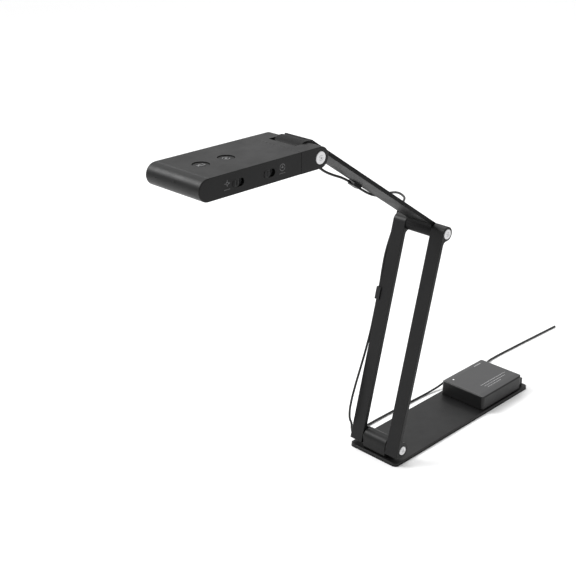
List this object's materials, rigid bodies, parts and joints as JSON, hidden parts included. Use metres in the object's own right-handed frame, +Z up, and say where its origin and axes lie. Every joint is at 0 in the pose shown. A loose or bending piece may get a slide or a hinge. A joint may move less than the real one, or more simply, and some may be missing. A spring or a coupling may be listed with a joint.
{
  "type": "document camera",
  "caption": "Folding desktop document camera: steel foot with an interface box, two-rail lower arm, flat upper arm, swivelling camera head with push buttons and slide switches.",
  "frame": {"origin": "middle of the foot's front edge, on the table", "axes": "+X to the side of the head that carries the slide switches, -Y to the front where the head reaches, +Z up from the table"},
  "size_m": [0.0801, 0.685, 0.3779],
  "materials": {
    "plastic_black": "matte",
    "plastic_dark": "matte",
    "plastic_knob": "satin",
    "steel_black": "matte",
    "rubber_black": "matte",
    "screw_steel": "satin",
    "pin_steel": "satin",
    "cap_grey": "satin",
    "washer_grey": "satin",
    "bush_bronze": "satin",
    "cable_black": "satin",
    "circuit_board": "satin",
    "chip_black": "matte",
    "socket_metal": "polished",
    "light_white": "satin",
    "sensor_glass": "polished",
    "lens_glass": "polished",
    "window_glass": "polished",
    "lamp_diffuser": "satin",
    "led_chip": "satin"
  },
  "bodies": {
    "base": {"base_plate": "steel_black", "base_rubber_pad": "rubber_black", "base_hinge_block": "plastic_black", "hinge_block_screws": "screw_steel", "base_hinge_washers": "washer_grey", "box_cover": "plastic_black", "box_tray": "plastic_dark", "box_screws": "screw_steel", "box_board": "circuit_board", "box_board_chips": "chip_black", "box_sockets": "socket_metal", "box_status_light": "light_white", "cable_relief_in": "cable_black", "cable_relief_out": "cable_black", "cable_floor": "cable_black", "cable_output": "cable_black"},
    "lower_arm": {"lower_rail_left": "plastic_black", "lower_rail_right": "plastic_black", "base_hinge_pin": "pin_steel", "base_pin_caps": "cap_grey", "elbow_hinge_pin": "pin_steel", "elbow_pin_caps": "cap_grey", "lower_cable_clip": "plastic_dark", "cable_lower": "cable_black"},
    "upper_arm": {"upper_arm": "plastic_black", "elbow_friction_bush": "bush_bronze", "head_friction_bush": "bush_bronze", "upper_cable_clip": "plastic_dark", "cable_upper": "cable_black"},
    "head_neck": {"head_hinge_block": "plastic_black", "head_hinge_pin": "pin_steel", "head_pin_caps": "cap_grey", "cable_head_stub": "cable_black"},
    "head": {"head_shell": "plastic_black", "head_top_cover": "plastic_black", "head_screws": "screw_steel", "swivel_tube": "pin_steel", "swivel_retaining_ring": "pin_steel", "head_board": "circuit_board", "head_board_chips": "chip_black", "button_switches": "chip_black", "slide_switch_bodies": "chip_black", "image_sensor": "sensor_glass", "lens_barrel": "plastic_dark", "lens_element": "lens_glass", "lens_window": "window_glass", "lamp_lens": "lamp_diffuser", "lamp_led": "led_chip"},
    "button_front": {"button_front": "plastic_black"},
    "button_rear": {"button_rear": "plastic_black"},
    "switch_front": {"switch_knob_front": "plastic_knob"},
    "switch_rear": {"switch_knob_rear": "plastic_knob"}
  },
  "joints": [
    {"name": "base_hinge", "type": "hinge", "parent": "base", "child": "lower_arm", "pos_m": [0, 0.0106, 0.0165], "axis": [1, 0, 0], "range_deg": [-60, 25]},
    {"name": "elbow_hinge", "type": "hinge", "parent": "lower_arm", "child": "upper_arm", "pos_m": [0, 0.0655, 0.2469], "axis": [1, 0, 0], "range_deg": [-45, 50]},
    {"name": "head_tilt", "type": "hinge", "parent": "upper_arm", "child": "head_neck", "pos_m": [0, -0.12491, 0.36658], "axis": [1, 0, 0], "range_deg": [-45, 75]},
    {"name": "head_swivel", "type": "hinge", "parent": "head_neck", "child": "head", "pos_m": [0, -0.14891, 0.36658], "axis": [0, 1, 0], "range_deg": [-90, 90]},
    {"name": "front_button_press", "type": "slide", "parent": "head", "child": "button_front", "axis": [0, 0, -1], "range_m": [0, 0.0005], "stiffness_N_per_m": 900, "springref_m": -0.001},
    {"name": "rear_button_press", "type": "slide", "parent": "head", "child": "button_rear", "axis": [0, 0, -1], "range_m": [0, 0.0005], "stiffness_N_per_m": 900, "springref_m": -0.001},
    {"name": "front_switch_slide", "type": "slide", "parent": "head", "child": "switch_front", "axis": [0, 1, 0], "range_m": [0, 0.0055]},
    {"name": "rear_switch_slide", "type": "slide", "parent": "head", "child": "switch_rear", "axis": [0, 1, 0], "range_m": [0, 0.0055]}
  ]
}
